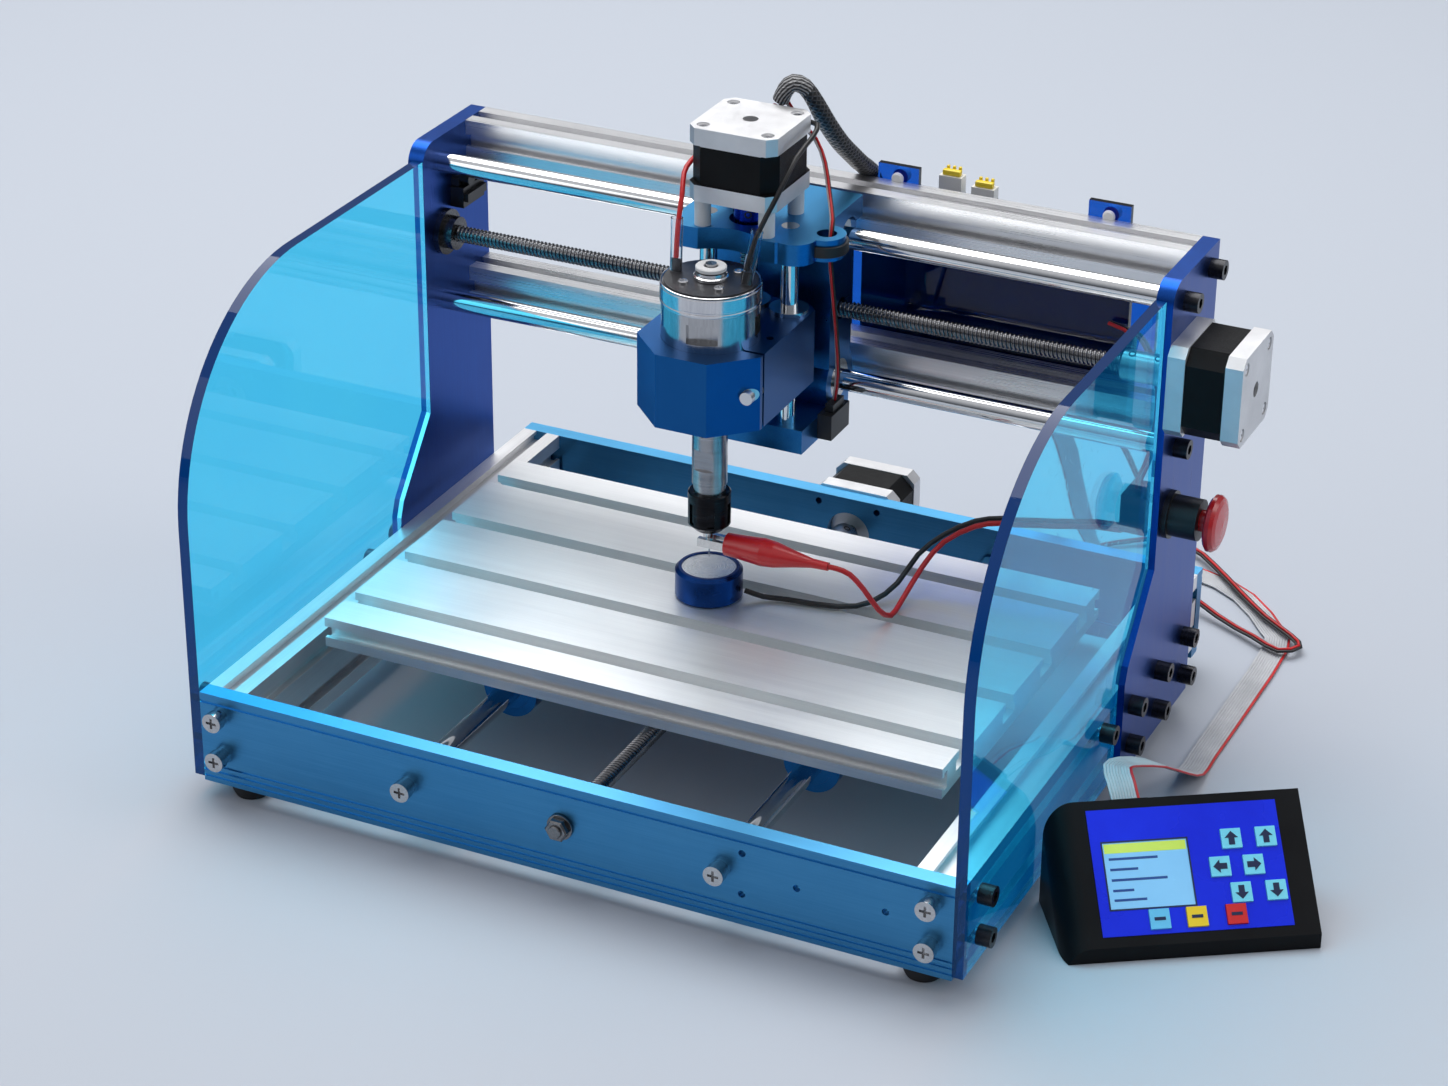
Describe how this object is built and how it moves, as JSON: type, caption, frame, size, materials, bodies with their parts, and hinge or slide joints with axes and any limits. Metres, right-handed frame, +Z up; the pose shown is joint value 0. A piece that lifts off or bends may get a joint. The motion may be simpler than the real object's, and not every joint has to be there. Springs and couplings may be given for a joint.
{
  "type": "cnc router",
  "caption": "Desktop three-axis router: bed on rods, gantry with lead screws, spindle, tinted side baffles, stop button and wired pendant.",
  "frame": {"origin": "on the bench, under the middle of the frame's footprint", "axes": "+X to the right along the gantry, +Y to the rear along the bed's travel, +Z up"},
  "size_m": [0.5003, 0.4301, 0.2962],
  "materials": {
    "blue_metal": "satin blue anodised aluminium",
    "clamp_blue": "satin dark blue anodised aluminium",
    "silver_profile": "clear anodised extrusion",
    "bed_metal": "brushed along X",
    "tinted_acrylic": "clear cyan sheet, polished",
    "controller_acrylic": "dark blue clear sheet",
    "rod_chrome": "polished ground steel",
    "rubber_black": "matt rubber",
    "screw_steel": "zinc plated",
    "screw_black": "black oxide",
    "lead_screw": "oiled thread",
    "bearing_steel": "ground steel",
    "motor_metal": "cast end caps with a black core",
    "nylon_white": "off-white nylon",
    "board_green": "circuit board",
    "switch_black": "moulded",
    "stop_red": "glossy red cap",
    "probe_blue": "anodised ring with a turned silver disc",
    "can_steel": "drawn steel",
    "cap_black": "moulded end cap",
    "shaft_steel": "turned steel",
    "nut_black": "black oxide",
    "bit_steel": "ground carbide",
    "clip_steel": "nickel plated",
    "boot_red": "soft vinyl",
    "pendant_black": "moulded",
    "panel_blue": "printed membrane with a light blue screen",
    "key_cyan": "key",
    "key_blue": "key",
    "key_yellow": "key",
    "key_red": "key",
    "ribbon_grey": "flat ribbon with a red edge",
    "lead_black": "insulated wire",
    "lead_red": "insulated wire",
    "sleeve_grey": "braided sleeve"
  },
  "bodies": {
    "frame": {"front_rail": "blue_metal", "rear_rail": "blue_metal", "side_profiles": "silver_profile", "left_plate": "blue_metal", "right_plate": "blue_metal", "side_baffles": "tinted_acrylic", "gantry_beams": "silver_profile", "x_rods": "rod_chrome", "y_rods": "rod_chrome", "feet": "rubber_black", "rail_screws": "screw_steel", "cap_screws": "screw_black", "end_bearing": "screw_black", "x_motor": "motor_metal", "y_motor": "motor_metal", "controller_cover": "controller_acrylic", "controller_board": "board_green", "x_limit_switch": "switch_black", "stop_body": "switch_black", "pendant_ribbon": "ribbon_grey", "motor_lead": "lead_black", "clip_lead": "lead_red", "probe_lead": "lead_black", "spindle_wires": "lead_red", "cable_sleeve": "sleeve_grey", "stop_harness": "lead_black"},
    "bed_assembly": {"bed": "bed_metal", "bed_blocks_and_nut": "blue_metal", "height_probe": "probe_blue"},
    "x_carriage": {"carriage_body": "blue_metal", "x_bushings_and_nut": "bearing_steel", "z_rods": "rod_chrome", "motor_standoffs": "nylon_white", "z_motor": "motor_metal", "z_limit_switch": "switch_black", "switch_wires": "lead_black"},
    "spindle": {"spindle_clamp": "clamp_blue", "z_bushings_and_nut": "bearing_steel", "spindle_can": "can_steel", "spindle_cap": "cap_black", "clip_jaws": "clip_steel", "clip_boot": "boot_red"},
    "rotor": {"collet_shaft": "shaft_steel", "collet_nut": "nut_black", "cutting_bit": "bit_steel"},
    "x_drive": {"x_screw": "lead_screw"},
    "y_drive": {"y_screw": "lead_screw"},
    "z_drive": {"z_screw": "lead_screw"},
    "stop_head": {"stop_button": "stop_red"},
    "pendant": {"pendant_case": "pendant_black", "pendant_panel": "panel_blue"},
    "key_up": {"key_up": "key_cyan"},
    "key_raise": {"key_raise": "key_cyan"},
    "key_left": {"key_left": "key_cyan"},
    "key_right": {"key_right": "key_cyan"},
    "key_down": {"key_down": "key_cyan"},
    "key_lower": {"key_lower": "key_cyan"},
    "key_blue": {"key_blue": "key_blue"},
    "key_yellow": {"key_yellow": "key_yellow"},
    "key_red": {"key_red": "key_red"}
  },
  "joints": [
    {"name": "bed_travel", "type": "slide", "parent": "frame", "child": "bed_assembly", "axis": [0, 1, 0], "range_m": [-0.083, 0.095], "deforming": ["probe_lead"]},
    {"name": "carriage_travel", "type": "slide", "parent": "frame", "child": "x_carriage", "axis": [1, 0, 0], "range_m": [-0.12, 0.11], "deforming": ["clip_lead", "cable_sleeve", "spindle_wires", "probe_lead"]},
    {"name": "spindle_travel", "type": "slide", "parent": "x_carriage", "child": "spindle", "axis": [0, 0, 1], "range_m": [-0.0035, 0.025], "deforming": ["spindle_wires", "clip_lead"]},
    {"name": "spindle_spin", "type": "hinge", "parent": "spindle", "child": "rotor", "pos_m": [-0.005, 0, 0.1], "axis": [0, 0, 1], "continuous": true},
    {"name": "x_screw_turn", "type": "hinge", "parent": "frame", "child": "x_drive", "pos_m": [0, 0.072, 0.189], "axis": [1, 0, 0], "continuous": true},
    {"name": "y_screw_turn", "type": "hinge", "parent": "frame", "child": "y_drive", "pos_m": [0, 0, 0.033], "axis": [0, 1, 0], "continuous": true},
    {"name": "z_screw_turn", "type": "hinge", "parent": "x_carriage", "child": "z_drive", "pos_m": [-0.005, 0.039, 0.19], "axis": [0, 0, 1], "continuous": true},
    {"name": "stop_press", "type": "slide", "parent": "frame", "child": "stop_head", "axis": [-1, 0, 0], "range_m": [0, 0.0035], "stiffness_N_per_m": 600},
    {"name": "pendant_lift", "type": "slide", "parent": "frame", "child": "pendant", "axis": [0, 0, 1], "range_m": [0, 0.12], "deforming": ["pendant_ribbon"]},
    {"name": "key_up_press", "type": "slide", "parent": "pendant", "child": "key_up", "axis": [-0.3501, 0.5391, -0.766], "range_m": [0, 0.0005], "stiffness_N_per_m": 300},
    {"name": "key_raise_press", "type": "slide", "parent": "pendant", "child": "key_raise", "axis": [-0.3501, 0.5391, -0.766], "range_m": [0, 0.0005], "stiffness_N_per_m": 300},
    {"name": "key_left_press", "type": "slide", "parent": "pendant", "child": "key_left", "axis": [-0.3501, 0.5391, -0.766], "range_m": [0, 0.0005], "stiffness_N_per_m": 300},
    {"name": "key_right_press", "type": "slide", "parent": "pendant", "child": "key_right", "axis": [-0.3501, 0.5391, -0.766], "range_m": [0, 0.0005], "stiffness_N_per_m": 300},
    {"name": "key_down_press", "type": "slide", "parent": "pendant", "child": "key_down", "axis": [-0.3501, 0.5391, -0.766], "range_m": [0, 0.0005], "stiffness_N_per_m": 300},
    {"name": "key_lower_press", "type": "slide", "parent": "pendant", "child": "key_lower", "axis": [-0.3501, 0.5391, -0.766], "range_m": [0, 0.0005], "stiffness_N_per_m": 300},
    {"name": "key_blue_press", "type": "slide", "parent": "pendant", "child": "key_blue", "axis": [-0.3501, 0.5391, -0.766], "range_m": [0, 0.0005], "stiffness_N_per_m": 300},
    {"name": "key_yellow_press", "type": "slide", "parent": "pendant", "child": "key_yellow", "axis": [-0.3501, 0.5391, -0.766], "range_m": [0, 0.0005], "stiffness_N_per_m": 300},
    {"name": "key_red_press", "type": "slide", "parent": "pendant", "child": "key_red", "axis": [-0.3501, 0.5391, -0.766], "range_m": [0, 0.0005], "stiffness_N_per_m": 300}
  ],
  "couplings": [
    {"joint": "x_screw_turn", "follows": "carriage_travel", "rad_per_m": 1570.8},
    {"joint": "y_screw_turn", "follows": "bed_travel", "rad_per_m": 1570.8},
    {"joint": "z_screw_turn", "follows": "spindle_travel", "rad_per_m": 1570.8}
  ]
}
